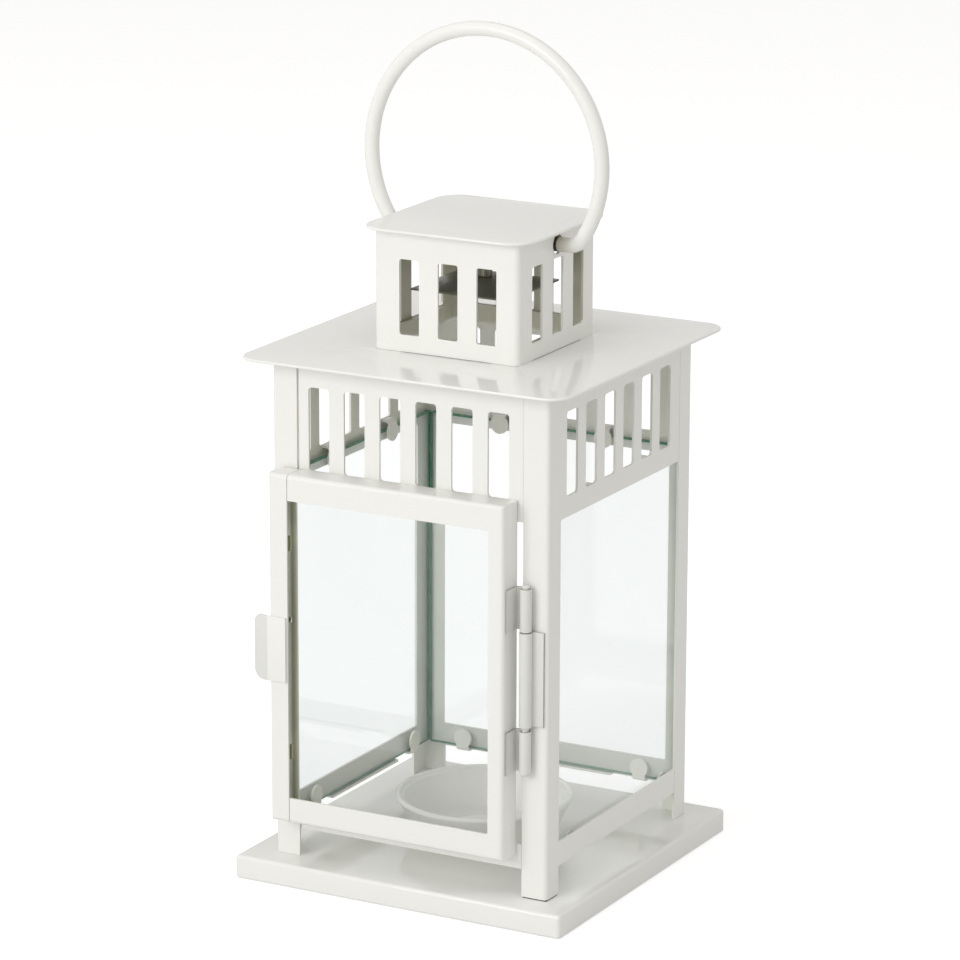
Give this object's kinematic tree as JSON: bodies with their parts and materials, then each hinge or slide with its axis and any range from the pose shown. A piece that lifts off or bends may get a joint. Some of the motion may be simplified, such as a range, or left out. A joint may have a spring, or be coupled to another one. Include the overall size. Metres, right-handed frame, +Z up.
{
  "type": "candle lantern",
  "caption": "Square sheet-steel candle lantern with glass panes, a hinged glazed door, slotted vents, a slotted chimney turret and a round swinging carry handle.",
  "frame": {"origin": "middle of the base's underside, in the plane that the lantern stands on", "axes": "+Z up, the door faces -Y and is hinged on its +X side, the handle's pivots lie along X"},
  "size_m": [0.12, 0.1204, 0.2792],
  "materials": {
    "white_paint": "semi-gloss",
    "dark_steel": "dark polished",
    "bare_steel": "satin",
    "clear_glass": "clear"
  },
  "bodies": {
    "lantern": {"base_plate": "white_paint", "candle_cup": "white_paint", "left_side_panel": "white_paint", "right_side_panel": "white_paint", "back_panel": "white_paint", "front_upper_panel": "white_paint", "front_bottom_rail": "white_paint", "roof_plate": "white_paint", "turret": "white_paint", "turret_cap": "white_paint", "heat_shield": "dark_steel", "heat_shield_rivet": "bare_steel", "left_glass": "clear_glass", "right_glass": "clear_glass", "back_glass": "clear_glass", "body_hinge_leaf": "white_paint", "hinge_pin": "white_paint"},
    "door": {"door_frame": "white_paint", "door_left_stile": "white_paint", "door_glass": "clear_glass", "door_latch_tab": "white_paint", "door_catch_stud": "bare_steel", "door_hinge_leaf_upper": "white_paint", "door_hinge_leaf_lower": "white_paint"},
    "handle": {"carry_handle": "white_paint"}
  },
  "joints": [
    {"name": "door_hinge", "type": "hinge", "parent": "lantern", "child": "door", "pos_m": [0.04355, -0.0528, 0.0814], "axis": [0, 0, 1], "range_deg": [0, 130]},
    {"name": "handle_swing", "type": "hinge", "parent": "lantern", "child": "handle", "pos_m": [0, 0, 0.20975], "axis": [1, 0, 0], "range_deg": [-116, 116]}
  ]
}
